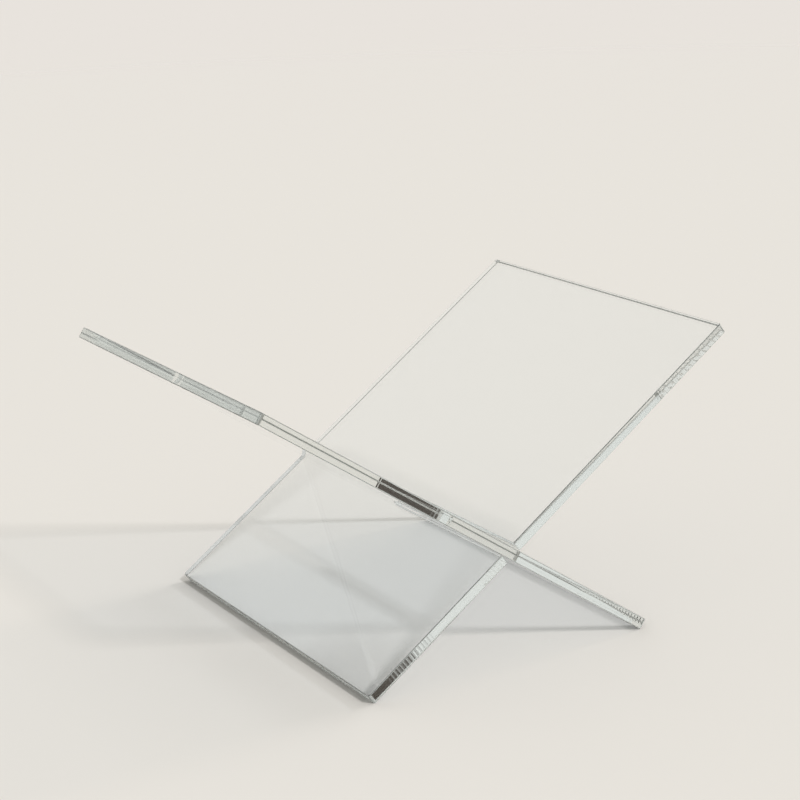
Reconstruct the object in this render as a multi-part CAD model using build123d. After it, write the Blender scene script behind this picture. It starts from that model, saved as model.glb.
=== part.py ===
from build123d import *
from math import cos, radians, sin
import os

os.makedirs("parts", exist_ok=True)

# Stand for an open photo album. Two equal sheets of clear acrylic cross in half-depth slots
# and hold each other up as an X: the album opens between the upper halves, the wings, and
# the lower halves are the legs.
#
# X runs to the right, Y from the front edges to the rear edges and Z up from the table.
# The origin is on the table, straight below the middle of the crossing.

# Driving dimensions, in millimetres and degrees
SHEET_THICKNESS = 8.0
SHEET_DEPTH = 280.0  # front edge to rear edge
WING_LENGTH = 220.0  # along the sheet, from the crossing up to the top end
LEG_LENGTH = 135.0  # along the sheet, from the crossing down to the foot end
SHEET_SLOPE = 35.0  # of each sheet above the table, so the wings open to 110 degrees
CORNER_RADIUS = 2.0  # of a sheet's four corners, seen square on
EDGE_BEVEL = 0.5  # polished bevel along both sides of every outer edge
STOP_GAP = 0.3  # between a slot's wall and the sheet that leans on it
HOME_GAP = 0.3  # between the ends of the two slots when the sheets are fully home

# Each slot is cut square through its sheet but is crossed at a slant, so it is wider than
# the sheet that it takes: its walls meet that sheet's faces only at their acute corners.
SLOPE = radians(SHEET_SLOPE)
CROSSING_ANGLE = 2 * SLOPE
HALF_THICKNESS = SHEET_THICKNESS / 2
SLOT_WIDTH = 2 * (HALF_THICKNESS * (1 + cos(CROSSING_ANGLE)) + STOP_GAP) / sin(CROSSING_ANGLE)
SLOT_LENGTH = (SHEET_DEPTH + HOME_GAP) / 2

# A foot rests on the line where its bevel meets the sheet's underside.
CROSSING_HEIGHT = (LEG_LENGTH - EDGE_BEVEL) * sin(SLOPE) + HALF_THICKNESS * cos(SLOPE)

CUT_MARGIN = 1.0  # how far a cutting box runs past the face that it opens


def blank_sheet():
    """A sheet lying flat with its crossing line on the Y axis, its wing to -X and its leg to +X."""
    outline = RectangleRounded(WING_LENGTH + LEG_LENGTH, SHEET_DEPTH, CORNER_RADIUS)
    outline = Pos((LEG_LENGTH - WING_LENGTH) / 2, 0) * outline
    sheet = extrude(outline, HALF_THICKNESS, both=True)
    faces = sheet.faces().sort_by(Axis.Z)
    return chamfer(faces[0].edges() + faces[-1].edges(), EDGE_BEVEL)


def slotted_sheet():
    """The flat sheet with its slot, which opens at the rear edge and ends at mid-depth."""
    cutter = Box(
        SLOT_WIDTH,
        SLOT_LENGTH + CUT_MARGIN,
        SHEET_THICKNESS + 2 * CUT_MARGIN,
        align=(Align.CENTER, Align.MAX, Align.CENTER),
    )
    return blank_sheet() - Pos(0, SHEET_DEPTH / 2 + CUT_MARGIN, 0) * cutter


def left_wing_sheet():
    """The sheet whose wing is at the left and whose foot is at the right. Its slot opens rearwards."""
    return Pos(0, 0, CROSSING_HEIGHT) * Rot(0, SHEET_SLOPE, 0) * slotted_sheet()


def right_wing_sheet():
    """The same sheet turned half round about the vertical, so its slot opens at the front."""
    return Rot(0, 0, 180) * left_wing_sheet()


export_step(left_wing_sheet(), "parts/left_wing_sheet.step")
export_step(right_wing_sheet(), "parts/right_wing_sheet.step")
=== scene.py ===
from math import cos, pi, radians, sin

import bmesh
import bpy
from mathutils import Matrix, Quaternion, Vector


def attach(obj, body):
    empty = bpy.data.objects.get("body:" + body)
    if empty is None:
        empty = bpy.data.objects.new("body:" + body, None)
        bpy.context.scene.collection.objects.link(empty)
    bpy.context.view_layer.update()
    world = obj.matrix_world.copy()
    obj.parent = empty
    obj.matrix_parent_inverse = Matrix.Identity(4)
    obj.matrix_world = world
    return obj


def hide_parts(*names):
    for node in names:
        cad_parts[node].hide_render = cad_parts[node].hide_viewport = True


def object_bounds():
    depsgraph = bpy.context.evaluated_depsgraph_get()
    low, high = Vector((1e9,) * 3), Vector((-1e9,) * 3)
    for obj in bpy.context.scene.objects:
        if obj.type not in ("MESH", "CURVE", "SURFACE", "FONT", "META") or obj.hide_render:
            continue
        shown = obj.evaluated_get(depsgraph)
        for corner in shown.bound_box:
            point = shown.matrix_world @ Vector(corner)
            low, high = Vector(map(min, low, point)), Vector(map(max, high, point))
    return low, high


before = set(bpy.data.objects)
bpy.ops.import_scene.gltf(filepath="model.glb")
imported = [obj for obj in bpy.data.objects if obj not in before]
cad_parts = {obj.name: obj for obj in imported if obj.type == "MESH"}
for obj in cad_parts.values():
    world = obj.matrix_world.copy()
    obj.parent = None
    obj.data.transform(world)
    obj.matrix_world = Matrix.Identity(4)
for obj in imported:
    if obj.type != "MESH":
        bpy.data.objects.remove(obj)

bl_info = {
    "name": "Acrylic Album Stand",
    "version": (1, 0, 0),
    "blender": (4, 5, 0),
    "location": "3D View > Sidebar > Album Stand",
    "description": "Builds a stand of two crossed clear acrylic sheets, and the studio round it",
    "category": "Object",
}

# The stand is two equal sheets of clear cast acrylic that cross in half-depth slots.
# X runs to the right, Y from the front edges to the rear edges and Z up from the table.

CAD_BOX = [list(corner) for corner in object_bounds()]
FRONT_TO_REAR = CAD_BOX[1][1] - CAD_BOX[0][1]

MM = 0.001

# The shape of a sheet
CORNER_SEGMENTS = 5
SOFT_SEGMENTS = 2
SHARP_TURN = radians(25)  # edges that turn more than this are softened
SQUARE_ON = 0.999  # cosine between a face's normal and an axis that it counts as square to
JUST_PAST = 1.01  # takes in edges that lie right on a limit

# The acrylic
ACRYLIC_IOR = 1.49
NOISE_LOW, NOISE_HIGH = 0.3, 0.7  # a noise texture seldom leaves this range
WAVINESS_SIZE = 70 * MM  # how far apart the slow waves of the cast faces are
WAVINESS_HEIGHT = 0.05 * MM
WIPED_SIZE = 25 * MM  # the size of the faint patches that wiping leaves
WIPED_ROUGHNESS = 0.02  # at the dullest of those patches
BUFFED_ROUGHNESS = 0.02
SCRAPED_SIZE = 6 * MM  # the size of the scraper's uneven strokes
SCRAPED_ROUGHNESS = (0.3, 0.36)
CHATTER_LENGTH = 75 * MM  # how far the cutter chattered up the left sheet's front edge from the foot end
CHATTER_WIDTH = 2.4 * MM  # half the width of the band of chatter at the foot end
CHATTER_RISE = 1.2 * MM  # how far the band lies above the middle of the thickness
CHATTER_FADE = 0.3 * MM  # how far the band takes to fade at its sides
CROSS_SHARE = 0.4  # how deep the marks on the ends and slot walls are beside those along the sides
WAVE_TURN = 20.0  # a wave texture's phase turns this many radians per unit of its coordinate

# The studio
TABLE_SIDES = 96
TABLE_FADE = (1.2, 5.0)  # the table fades away between these distances from the stand, in metres
PAINT_IOR = 1.45
DAYLIGHT_HEIGHTS = (0.08, 0.4)  # sines of the elevations where the daylight starts and is full
CEILING_HEIGHTS = (0.6, 0.95)  # the same for the dark ceiling
FLAGS = (  # each black flag's azimuth, its elevation, and how far its edge is from its middle
    (radians(119.5), radians(19.2), radians(3.2)),
    (radians(106.8), radians(33.6), radians(2.9)),
)
FLAG_BLUR = radians(1.5)  # how wide a flag's blurred edge is
LAMPS = (  # each lamp's name, its azimuth, its elevation, how wide it looks, and its strength
    ("key_softbox", radians(-80), radians(43), radians(7), 1.26),
    ("right_softbox", radians(2), radians(29), radians(10), 0.99),
)
LAMP_DISTANCE = 2.0  # where the lamps' markers stand, in metres; their light has no place
MIX_FIRST, MIX_SECOND, MIXED = 6, 7, 2  # the colour sockets of a Mix node, two in and one out


def linear(hex_colour):
    """The linear colour of an sRGB hex value."""
    channels = [int(hex_colour[i : i + 2], 16) / 255 for i in (0, 2, 4)]
    return tuple(c / 12.92 if c <= 0.04045 else ((c + 0.055) / 1.055) ** 2.4 for c in channels) + (1.0,)


class SheetSizes(bpy.types.PropertyGroup):
    """The sizes of one sheet. Both sheets are the same."""

    thickness: bpy.props.FloatProperty(
        name="Thickness", description="Thickness of the acrylic sheet", default=8 * MM, unit="LENGTH"
    )
    depth: bpy.props.FloatProperty(
        name="Depth", description="From the front edge to the rear edge", default=FRONT_TO_REAR, unit="LENGTH"
    )
    wing: bpy.props.FloatProperty(
        name="Wing", description="Along the sheet, from the crossing up to the top end", default=220 * MM,
        unit="LENGTH",
    )
    leg: bpy.props.FloatProperty(
        name="Leg", description="Along the sheet, from the crossing down to the foot end", default=135 * MM,
        unit="LENGTH",
    )
    slope: bpy.props.FloatProperty(
        name="Slope", description="Slope of each sheet above the table", default=radians(35), unit="ROTATION"
    )
    stop_gap: bpy.props.FloatProperty(
        name="Stop gap", description="Between a slot's wall and the sheet that leans on it", default=0.3 * MM,
        unit="LENGTH",
    )
    home_gap: bpy.props.FloatProperty(
        name="Home gap", description="Between the ends of the two slots", default=0.3 * MM, unit="LENGTH"
    )
    corner: bpy.props.FloatProperty(
        name="Corner", description="Radius of the sheet's four corners", default=2 * MM, unit="LENGTH"
    )
    bevel: bpy.props.FloatProperty(
        name="Bevel", description="Polished bevel along the outer edges", default=0.5 * MM, unit="LENGTH"
    )
    soft_edge: bpy.props.FloatProperty(
        name="Soft edge", description="Rounding that polishing leaves on every sharp edge", default=0.12 * MM,
        unit="LENGTH",
    )


class AcrylicFinish(bpy.types.PropertyGroup):
    """The look of the clear acrylic."""

    tint: bpy.props.FloatVectorProperty(
        name="Tint", description="Colour of light that has passed a polished face", subtype="COLOR", size=4,
        default=linear("FCFDFD"),
    )
    body_tint: bpy.props.FloatVectorProperty(
        name="Body tint", description="Colour that long ways through the acrylic take on", subtype="COLOR",
        size=4, default=linear("E7EBE8"),
    )
    density: bpy.props.FloatProperty(
        name="Density", description="How strongly the body tint shows, per metre", default=2.0
    )
    face_shadow: bpy.props.FloatVectorProperty(
        name="Face shadow", description="Light that a broad face lets through to the table", subtype="COLOR",
        size=4, default=linear("F5F7F9"),
    )
    edge_shadow: bpy.props.FloatVectorProperty(
        name="Edge shadow", description="Light that an edge lets through to the table", subtype="COLOR",
        size=4, default=linear("A9ABAA"),
    )
    cutter_pitch: bpy.props.FloatProperty(
        name="Cutter pitch", description="Spacing of the cutter's marks along the edges", default=3 * MM,
        unit="LENGTH",
    )
    cutter_depth: bpy.props.FloatProperty(
        name="Cutter depth", description="Depth of the cutter's marks", default=0.008 * MM, unit="LENGTH"
    )
    chatter_depth: bpy.props.FloatProperty(
        name="Chatter depth", description="Depth of the marks where the cutter chattered, at the left foot",
        default=0.2 * MM, unit="LENGTH",
    )


class StudioSettings(bpy.types.PropertyGroup):
    """The table, the lights and the camera."""

    table: bpy.props.FloatVectorProperty(
        name="Table", description="Colour of the matt table", subtype="COLOR", size=4,
        default=linear("E6E1DB"),
    )
    surroundings: bpy.props.FloatVectorProperty(
        name="Surroundings", description="Colour of the room at eye level", subtype="COLOR", size=4,
        default=linear("E8E3DD"),
    )
    daylight: bpy.props.FloatVectorProperty(
        name="Daylight", description="Cool light of the room above eye level", subtype="COLOR", size=4,
        default=linear("E8EAE7"),
    )
    ceiling: bpy.props.FloatVectorProperty(
        name="Ceiling", description="Colour of the unlit room overhead", subtype="COLOR", size=4,
        default=linear("8E9090"),
    )
    flag: bpy.props.FloatVectorProperty(
        name="Flags", description="Colour of the black flags that clear edges mirror", subtype="COLOR",
        size=4, default=linear("3C342D"),
    )
    table_radius: bpy.props.FloatProperty(
        name="Table radius", description="How far the table reaches", default=12.0, unit="LENGTH"
    )
    azimuth: bpy.props.FloatProperty(
        name="Azimuth", description="Camera's turn round the stand", default=radians(-30.45), unit="ROTATION"
    )
    elevation: bpy.props.FloatProperty(
        name="Elevation", description="Camera's height above the horizon", default=radians(15.81),
        unit="ROTATION",
    )
    roll: bpy.props.FloatProperty(
        name="Roll", description="Camera's turn about its own view", default=radians(-2.15), unit="ROTATION"
    )
    distance: bpy.props.FloatProperty(
        name="Distance", description="Camera to its target", default=1.474, unit="LENGTH"
    )
    target: bpy.props.FloatVectorProperty(
        name="Target", description="The point that the camera looks at", subtype="TRANSLATION", unit="LENGTH",
        default=(0.0014, 0.0, 0.1548),
    )
    lens: bpy.props.FloatProperty(
        name="Lens", description="Focal length in millimetres", default=93.2
    )


def crossing_height(sizes):
    """How high the middle of the crossing is above the table: each sheet rests on its lower foot edge."""
    return (sizes.leg - sizes.bevel) * sin(sizes.slope) + sizes.thickness / 2 * cos(sizes.slope)


# Materials


def add_node(tree, kind, inputs=None, **settings):
    """Adds a node with its settings, and sets or links its inputs."""
    node = tree.nodes.new(kind)
    for name, value in settings.items():
        setattr(node, name, value)
    for name, value in (inputs or {}).items():
        if isinstance(value, bpy.types.NodeSocket):
            tree.links.new(value, node.inputs[name])
        else:
            node.inputs[name].default_value = value
    return node


def empty_material(name):
    """A node material with nothing in it yet."""
    material = bpy.data.materials.new(name)
    material.use_nodes = True
    material.node_tree.nodes.clear()
    return material


def finish_clear(tree, surface, shadow_colour, finish):
    """Ends a clear material. Lamps reach the table through it, and long ways through it take on its tint."""
    path = add_node(tree, "ShaderNodeLightPath")
    lamp_or_table = add_node(
        tree, "ShaderNodeMath",
        {0: path.outputs["Is Shadow Ray"], 1: path.outputs["Is Diffuse Ray"]},
        operation="MAXIMUM",
    )
    through = add_node(tree, "ShaderNodeBsdfTransparent", {"Color": shadow_colour})
    mixed = add_node(
        tree, "ShaderNodeMixShader",
        {0: lamp_or_table.outputs[0], 1: surface.outputs[0], 2: through.outputs[0]},
    )
    body = add_node(
        tree, "ShaderNodeVolumeAbsorption", {"Color": finish.body_tint, "Density": finish.density}
    )
    add_node(tree, "ShaderNodeOutputMaterial", {"Surface": mixed.outputs[0], "Volume": body.outputs[0]})


def polished_cast_acrylic(finish):
    """Cast acrylic as it leaves the glass moulds: clear, glossy and almost flat, with faint slow waves."""
    material = empty_material("polished_cast_acrylic")
    tree = material.node_tree
    place = add_node(tree, "ShaderNodeTexCoord")
    waviness = add_node(
        tree, "ShaderNodeTexNoise",
        {"Vector": place.outputs["Object"], "Scale": 1 / WAVINESS_SIZE, "Detail": 1.0, "Roughness": 0.4},
    )
    wavy = add_node(
        tree, "ShaderNodeBump",
        {"Strength": 1.0, "Distance": WAVINESS_HEIGHT, "Height": waviness.outputs["Fac"]},
    )
    wiped = add_node(
        tree, "ShaderNodeTexNoise",
        {"Vector": place.outputs["Object"], "Scale": 1 / WIPED_SIZE, "Detail": 4.0, "Roughness": 0.6},
    )
    gloss = add_node(
        tree, "ShaderNodeMapRange",
        {
            "Value": wiped.outputs["Fac"],
            "From Min": NOISE_LOW,
            "From Max": NOISE_HIGH,
            "To Min": 0.0,
            "To Max": WIPED_ROUGHNESS,
        },
    )
    surface = add_node(
        tree, "ShaderNodeBsdfPrincipled",
        {
            "Base Color": finish.tint,
            "Roughness": gloss.outputs["Result"],
            "IOR": ACRYLIC_IOR,
            "Transmission Weight": 1.0,
            "Normal": wavy.outputs["Normal"],
        },
    )
    finish_clear(tree, surface, finish.face_shadow, finish)
    return material


def crossing_offset(sizes):
    """How far up a sheet the crossing lies from the sheet's nearest point to the origin."""
    return crossing_height(sizes) * sin(sizes.slope)


def machined_edge_acrylic(name, foot_direction, chatter_depth, sizes, finish):
    """Edges cut by a router and buffed: clear, with its ripple across them, deep where it chattered."""
    slope = sizes.slope * foot_direction
    material = empty_material(name)
    tree = material.node_tree
    place = add_node(tree, "ShaderNodeTexCoord")
    along_sheet = add_node(
        tree, "ShaderNodeMapping",
        {"Vector": place.outputs["Object"], "Rotation": (0.0, -slope, 0.0)},
    )
    ripple = {"Distortion": 0.25, "Detail": 2.0, "Detail Scale": 0.5}
    scale = 2 * pi / (WAVE_TURN * finish.cutter_pitch)
    lengthwise = add_node(
        tree, "ShaderNodeTexWave",
        {"Vector": along_sheet.outputs["Vector"], "Scale": scale, **ripple},
        bands_direction="X",
    )
    crosswise = add_node(
        tree, "ShaderNodeTexWave",
        {"Vector": along_sheet.outputs["Vector"], "Scale": scale / 2, **ripple},
        bands_direction="Y",
    )
    apart = add_node(tree, "ShaderNodeSeparateXYZ", {"Vector": along_sheet.outputs["Vector"]})
    foot = foot_direction * (sizes.leg - crossing_offset(sizes))
    # The band of chatter narrows up the sheet, and lies on the front edge only.
    wedge = add_node(
        tree, "ShaderNodeMapRange",
        {
            "Value": apart.outputs["X"],
            "From Min": foot - foot_direction * CHATTER_LENGTH,
            "From Max": foot,
            "To Min": 0.0,
            "To Max": CHATTER_WIDTH,
        },
    )
    band_middle = crossing_height(sizes) * cos(sizes.slope) + CHATTER_RISE
    across = add_node(tree, "ShaderNodeMath", {0: apart.outputs["Z"], 1: band_middle}, operation="SUBTRACT")
    off_band = add_node(tree, "ShaderNodeMath", {0: across.outputs[0]}, operation="ABSOLUTE")
    in_front = add_node(tree, "ShaderNodeMath", {0: apart.outputs["Y"], 1: 0.0}, operation="LESS_THAN")
    half_band = add_node(
        tree, "ShaderNodeMath", {0: wedge.outputs["Result"], 1: in_front.outputs[0]},
        operation="MULTIPLY",
    )
    inside = add_node(
        tree, "ShaderNodeMath", {0: half_band.outputs[0], 1: off_band.outputs[0]}, operation="SUBTRACT"
    )
    chatter = add_node(
        tree, "ShaderNodeMapRange",
        {
            "Value": inside.outputs[0],
            "From Min": 0.0,
            "From Max": CHATTER_FADE,
            "To Min": 1.0,
            "To Max": chatter_depth / finish.cutter_depth,
        },
        interpolation_type="SMOOTHSTEP",
    )
    side_marks = add_node(
        tree, "ShaderNodeMath",
        {0: lengthwise.outputs["Fac"], 1: chatter.outputs["Result"]}, operation="MULTIPLY",
    )
    end_marks = add_node(
        tree, "ShaderNodeMath", {0: crosswise.outputs["Fac"], 1: CROSS_SHARE}, operation="MULTIPLY"
    )
    marks = add_node(
        tree, "ShaderNodeMath", {0: side_marks.outputs[0], 1: end_marks.outputs[0]}, operation="ADD"
    )
    rippled = add_node(
        tree, "ShaderNodeBump",
        {"Strength": 1.0, "Distance": finish.cutter_depth, "Height": marks.outputs[0]},
    )
    surface = add_node(
        tree, "ShaderNodeBsdfPrincipled",
        {
            "Base Color": finish.tint,
            "Roughness": BUFFED_ROUGHNESS,
            "IOR": ACRYLIC_IOR,
            "Transmission Weight": 1.0,
            "Normal": rippled.outputs["Normal"],
        },
    )
    finish_clear(tree, surface, finish.edge_shadow, finish)
    return material


def scraped_bevel_acrylic(finish):
    """Bevels drawn with a scraper: satin, so that they catch the light as pale lines."""
    material = empty_material("scraped_bevel_acrylic")
    tree = material.node_tree
    place = add_node(tree, "ShaderNodeTexCoord")
    strokes = add_node(
        tree, "ShaderNodeTexNoise",
        {"Vector": place.outputs["Object"], "Scale": 1 / SCRAPED_SIZE, "Detail": 2.0},
    )
    satin = add_node(
        tree, "ShaderNodeMapRange",
        {
            "Value": strokes.outputs["Fac"],
            "From Min": NOISE_LOW,
            "From Max": NOISE_HIGH,
            "To Min": SCRAPED_ROUGHNESS[0],
            "To Max": SCRAPED_ROUGHNESS[1],
        },
    )
    surface = add_node(
        tree, "ShaderNodeBsdfPrincipled",
        {
            "Base Color": finish.tint,
            "Roughness": satin.outputs["Result"],
            "IOR": ACRYLIC_IOR,
            "Transmission Weight": 1.0,
        },
    )
    finish_clear(tree, surface, finish.edge_shadow, finish)
    return material


# Sheets


def flat_sheet(sizes):
    """A flat sheet with its slot: X along it to the foot end, Y to the rear edge, Z through its thickness."""
    half = sizes.thickness / 2
    crossing_angle = 2 * sizes.slope
    slot_half = (half * (1 + cos(crossing_angle)) + sizes.stop_gap) / sin(crossing_angle)
    slot_end = -sizes.home_gap / 2

    bm = bmesh.new()
    bmesh.ops.create_grid(bm, x_segments=1, y_segments=1, size=0.5)
    bmesh.ops.scale(bm, vec=(sizes.wing + sizes.leg, sizes.depth, 1), verts=bm.verts)
    bmesh.ops.translate(bm, vec=((sizes.leg - sizes.wing) / 2, 0, -half), verts=bm.verts)

    # The slot: its two walls and its end are scribed, and what lies between them is taken out.
    for point, normal in (
        ((-slot_half, 0, 0), (1, 0, 0)),
        ((slot_half, 0, 0), (1, 0, 0)),
        ((0, slot_end, 0), (0, 1, 0)),
    ):
        bmesh.ops.bisect_plane(
            bm, geom=bm.verts[:] + bm.edges[:] + bm.faces[:], plane_co=point, plane_no=normal
        )
    waste = [
        face for face in bm.faces
        if abs(face.calc_center_median().x) < slot_half and face.calc_center_median().y > slot_end
    ]
    bmesh.ops.delete(bm, geom=waste, context="FACES")
    bmesh.ops.dissolve_limit(bm, angle_limit=radians(1), verts=bm.verts, edges=bm.edges)

    # The thickness
    raised = bmesh.ops.extrude_face_region(bm, geom=bm.faces[:], use_keep_orig=True)["geom"]
    bmesh.ops.translate(
        bm, vec=(0, 0, sizes.thickness), verts=[v for v in raised if isinstance(v, bmesh.types.BMVert)]
    )
    bmesh.ops.recalc_face_normals(bm, faces=bm.faces)

    def bevel(edges, offset, segments):
        """Bevels these edges."""
        bmesh.ops.bevel(
            bm, geom=edges, offset=offset, offset_type="OFFSET", affect="EDGES", segments=segments,
            profile=0.5, material=-1, clamp_overlap=True,
        )

    def middle(edge):
        """The middle of an edge."""
        return (edge.verts[0].co + edge.verts[1].co) / 2

    # The four corners, then the bevels of the outer edges, then a little rounding wherever it is sharp
    upright = [e for e in bm.edges if abs(e.verts[0].co.z - e.verts[1].co.z) > half]
    bevel([e for e in upright if abs(middle(e).x) > 2 * slot_half], sizes.corner, CORNER_SEGMENTS)
    outline = [
        e for e in bm.edges
        if abs(abs(middle(e).z) - half) < sizes.bevel / 10
        and not (abs(middle(e).x) <= slot_half * JUST_PAST and middle(e).y > slot_end * JUST_PAST)
    ]
    bevel(outline, sizes.bevel, 1)
    bevel([e for e in bm.edges if e.calc_face_angle(0) > SHARP_TURN], sizes.soft_edge, SOFT_SEGMENTS)
    bmesh.ops.recalc_face_normals(bm, faces=bm.faces)

    # Broad faces 0, edges and slot walls 1, bevels and roundings 2
    for face in bm.faces:
        if abs(face.normal.z) > SQUARE_ON:
            face.material_index = 0
        elif max(abs(face.normal.x), abs(face.normal.y)) > SQUARE_ON:
            face.material_index = 1
        else:
            face.material_index = 2
            face.smooth = True
    return bm


def place_sheet(name, node, body, half_turn, materials, sizes):
    """Stands a sheet on its foot at the stand's slope, turned about the vertical, for its CAD solid."""
    bm = flat_sheet(sizes)
    stand = (
        Matrix.Rotation(half_turn, 4, "Z")
        @ Matrix.Translation((0, 0, crossing_height(sizes)))
        @ Matrix.Rotation(sizes.slope, 4, "Y")
    )
    bmesh.ops.transform(bm, matrix=stand, verts=bm.verts)
    mesh = bpy.data.meshes.new(name)
    bm.to_mesh(mesh)
    bm.free()
    for material in materials:
        mesh.materials.append(material)
    piece = bpy.data.objects.new(name, mesh)
    bpy.context.scene.collection.objects.link(piece)
    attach(piece, body)
    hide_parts(node)


# Studio


def matt_table(studio):
    """A matt painted table top. It fades into the surroundings far from the stand."""
    material = empty_material("matt_table_paint")
    tree = material.node_tree
    place = add_node(tree, "ShaderNodeTexCoord")
    radius = add_node(tree, "ShaderNodeVectorMath", {0: place.outputs["Object"]}, operation="LENGTH")
    paint = add_node(
        tree, "ShaderNodeBsdfPrincipled",
        {"Base Color": studio.table, "Roughness": 1.0, "IOR": PAINT_IOR, "Specular IOR Level": 0.0},
    )
    beyond = add_node(tree, "ShaderNodeBsdfTransparent")
    fade = add_node(
        tree, "ShaderNodeMapRange",
        {"Value": radius.outputs["Value"], "From Min": TABLE_FADE[0], "From Max": TABLE_FADE[1]},
        interpolation_type="SMOOTHSTEP",
    )
    mixed = add_node(
        tree, "ShaderNodeMixShader",
        {0: fade.outputs["Result"], 1: paint.outputs[0], 2: beyond.outputs[0]},
    )
    add_node(tree, "ShaderNodeOutputMaterial", {"Surface": mixed.outputs[0]})
    return material


def towards(azimuth, elevation):
    """A direction. Azimuth turns from +X to +Y, and elevation is above the horizon."""
    return Vector((cos(azimuth) * cos(elevation), sin(azimuth) * cos(elevation), sin(elevation)))


def make_surroundings(studio):
    """A room that is pale at eye level and darkens overhead, with the two black flags."""
    world = bpy.data.worlds.new("studio_room")
    bpy.context.scene.world = world
    world.use_nodes = True
    tree = world.node_tree
    tree.nodes.clear()
    place = add_node(tree, "ShaderNodeTexCoord")
    height = add_node(tree, "ShaderNodeSeparateXYZ", {"Vector": place.outputs["Generated"]})
    colour = studio.surroundings
    for above, (start, full) in ((studio.daylight, DAYLIGHT_HEIGHTS), (studio.ceiling, CEILING_HEIGHTS)):
        share = add_node(
            tree, "ShaderNodeMapRange",
            {"Value": height.outputs["Z"], "From Min": start, "From Max": full},
            interpolation_type="SMOOTHSTEP",
        )
        blend = add_node(
            tree, "ShaderNodeMix",
            {"Factor": share.outputs["Result"], MIX_FIRST: colour, MIX_SECOND: above},
            data_type="RGBA",
        )
        colour = blend.outputs[MIXED]
    # Two small black flags hang high behind the stand. The left sheet's slot wall mirrors the first, and
    # the right sheet's front edge mirrors the second near its foot.
    for azimuth, elevation, size in FLAGS:
        nearness = add_node(
            tree, "ShaderNodeVectorMath",
            {0: place.outputs["Generated"], 1: towards(azimuth, elevation)},
            operation="DOT_PRODUCT",
        )
        share = add_node(
            tree, "ShaderNodeMapRange",
            {
                "Value": nearness.outputs["Value"],
                "From Min": cos(size),
                "From Max": cos(size - FLAG_BLUR),
            },
            interpolation_type="SMOOTHSTEP",
        )
        blend = add_node(
            tree, "ShaderNodeMix",
            {"Factor": share.outputs["Result"], MIX_FIRST: colour, MIX_SECOND: studio.flag},
            data_type="RGBA",
        )
        colour = blend.outputs[MIXED]
    background = add_node(tree, "ShaderNodeBackground", {"Color": colour, "Strength": 1.0})
    add_node(tree, "ShaderNodeOutputWorld", {"Surface": background.outputs[0]})


def add_softbox(name, azimuth, elevation, width, strength):
    """A far soft lamp, white and as wide as this angle, that lights the whole table alike."""
    lamp = bpy.data.lights.new(name, "SUN")
    lamp.angle = width
    lamp.energy = strength
    softbox = bpy.data.objects.new(name, lamp)
    softbox.location = towards(azimuth, elevation) * LAMP_DISTANCE
    softbox.rotation_mode = "QUATERNION"
    softbox.rotation_quaternion = towards(azimuth, elevation).to_track_quat("Z", "Y")
    softbox.visible_glossy = False  # no round glare on the clear faces, seen from above
    softbox.visible_transmission = False
    bpy.context.scene.collection.objects.link(softbox)


def add_camera(studio):
    """The camera, in front of the stand and to its left."""
    back = towards(studio.azimuth - pi / 2, studio.elevation)
    camera = bpy.data.objects.new("camera", bpy.data.cameras.new("camera"))
    camera.data.lens = studio.lens
    camera.location = Vector(studio.target) + back * studio.distance
    camera.rotation_mode = "QUATERNION"
    camera.rotation_quaternion = back.to_track_quat("Z", "Y") @ Quaternion((0, 0, 1), studio.roll)
    bpy.context.scene.collection.objects.link(camera)
    bpy.context.scene.camera = camera


# Operators and panel


class ALBUMSTAND_OT_sheets(bpy.types.Operator):
    """Builds the two acrylic sheets, crossed in their slots"""

    bl_idname = "album_stand.sheets"
    bl_label = "Add Acrylic Sheets"
    bl_options = {"REGISTER", "UNDO"}

    def execute(self, context):
        sizes = context.scene.album_stand_sheet
        finish = context.scene.album_stand_finish
        face = polished_cast_acrylic(finish)
        bevel = scraped_bevel_acrylic(finish)
        for side, half_turn, foot_direction, chatter_depth in (
            ("left", 0.0, 1, finish.chatter_depth),
            ("right", pi, -1, finish.cutter_depth),
        ):
            edge = machined_edge_acrylic(
                f"machined_edge_acrylic_{side}", foot_direction, chatter_depth, sizes, finish
            )
            place_sheet(
                f"{side}_sheet_acrylic", f"{side}_wing_sheet", f"{side}_sheet", half_turn,
                (face, edge, bevel), sizes,
            )
        return {"FINISHED"}


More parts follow.
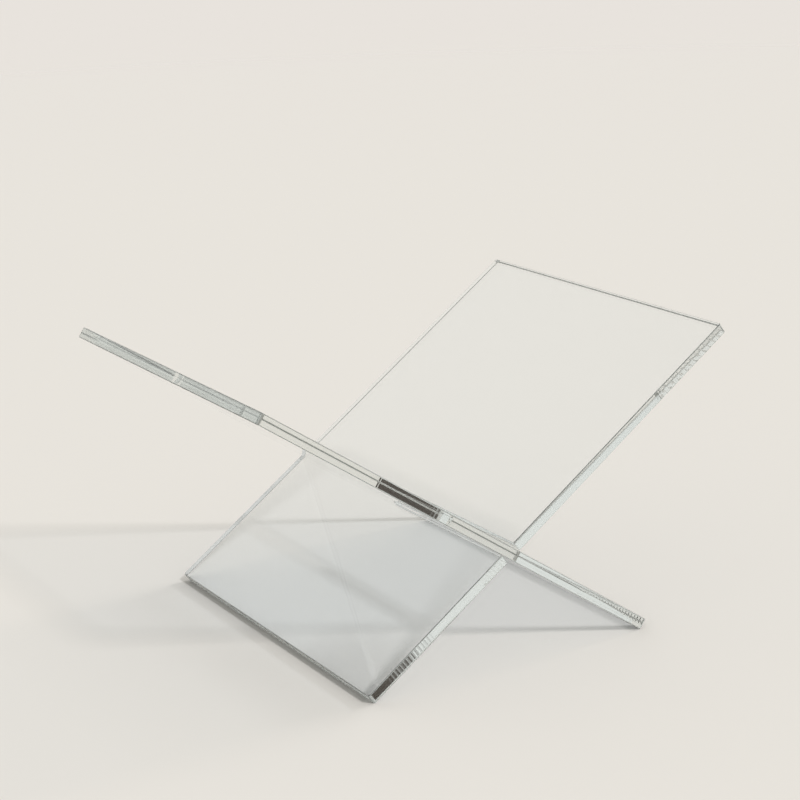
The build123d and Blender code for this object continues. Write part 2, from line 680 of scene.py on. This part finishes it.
class ALBUMSTAND_OT_studio(bpy.types.Operator):
    """Builds the table, the soft lights and the camera"""

    bl_idname = "album_stand.studio"
    bl_label = "Add Studio"
    bl_options = {"REGISTER", "UNDO"}

    def execute(self, context):
        studio = context.scene.album_stand_studio
        bm = bmesh.new()
        bmesh.ops.create_circle(bm, cap_ends=True, radius=studio.table_radius, segments=TABLE_SIDES)
        mesh = bpy.data.meshes.new("table")
        bm.to_mesh(mesh)
        bm.free()
        mesh.materials.append(matt_table(studio))
        table = bpy.data.objects.new("table", mesh)
        context.scene.collection.objects.link(table)
        make_surroundings(studio)
        for lamp in LAMPS:
            add_softbox(*lamp)
        add_camera(studio)
        context.scene.view_settings.view_transform = "Standard"
        # Light runs far along inside the sheets and turns back at their faces many times.
        cycles = context.scene.cycles
        cycles.max_bounces = 80
        cycles.glossy_bounces = 64
        cycles.transmission_bounces = 32
        cycles.transparent_max_bounces = 16
        return {"FINISHED"}


class ALBUMSTAND_PT_panel(bpy.types.Panel):
    """Lists the stand's pieces and their settings"""

    bl_idname = "ALBUMSTAND_PT_panel"
    bl_label = "Album Stand"
    bl_space_type = "VIEW_3D"
    bl_region_type = "UI"
    bl_category = "Album Stand"

    def draw(self, context):
        scene = context.scene
        for operator, settings in (
            (ALBUMSTAND_OT_sheets, (scene.album_stand_sheet, scene.album_stand_finish)),
            (ALBUMSTAND_OT_studio, (scene.album_stand_studio,)),
        ):
            box = self.layout.box()
            box.operator(operator.bl_idname)
            for group in settings:
                for name in group.__annotations__:
                    box.prop(group, name)


CLASSES = (
    SheetSizes,
    AcrylicFinish,
    StudioSettings,
    ALBUMSTAND_OT_sheets,
    ALBUMSTAND_OT_studio,
    ALBUMSTAND_PT_panel,
)
SETTINGS = {
    "album_stand_sheet": SheetSizes,
    "album_stand_finish": AcrylicFinish,
    "album_stand_studio": StudioSettings,
}


def register():
    """Adds the classes and the scene's settings."""
    for cls in CLASSES:
        bpy.utils.register_class(cls)
    for name, group in SETTINGS.items():
        setattr(bpy.types.Scene, name, bpy.props.PointerProperty(type=group))


def unregister():
    """Takes the settings and the classes away again."""
    for name in SETTINGS:
        delattr(bpy.types.Scene, name)
    for cls in reversed(CLASSES):
        bpy.utils.unregister_class(cls)


def main():
    """Builds the stand and the studio."""
    register()
    bpy.ops.album_stand.sheets()
    bpy.ops.album_stand.studio()


if __name__ == "__main__":
    main()
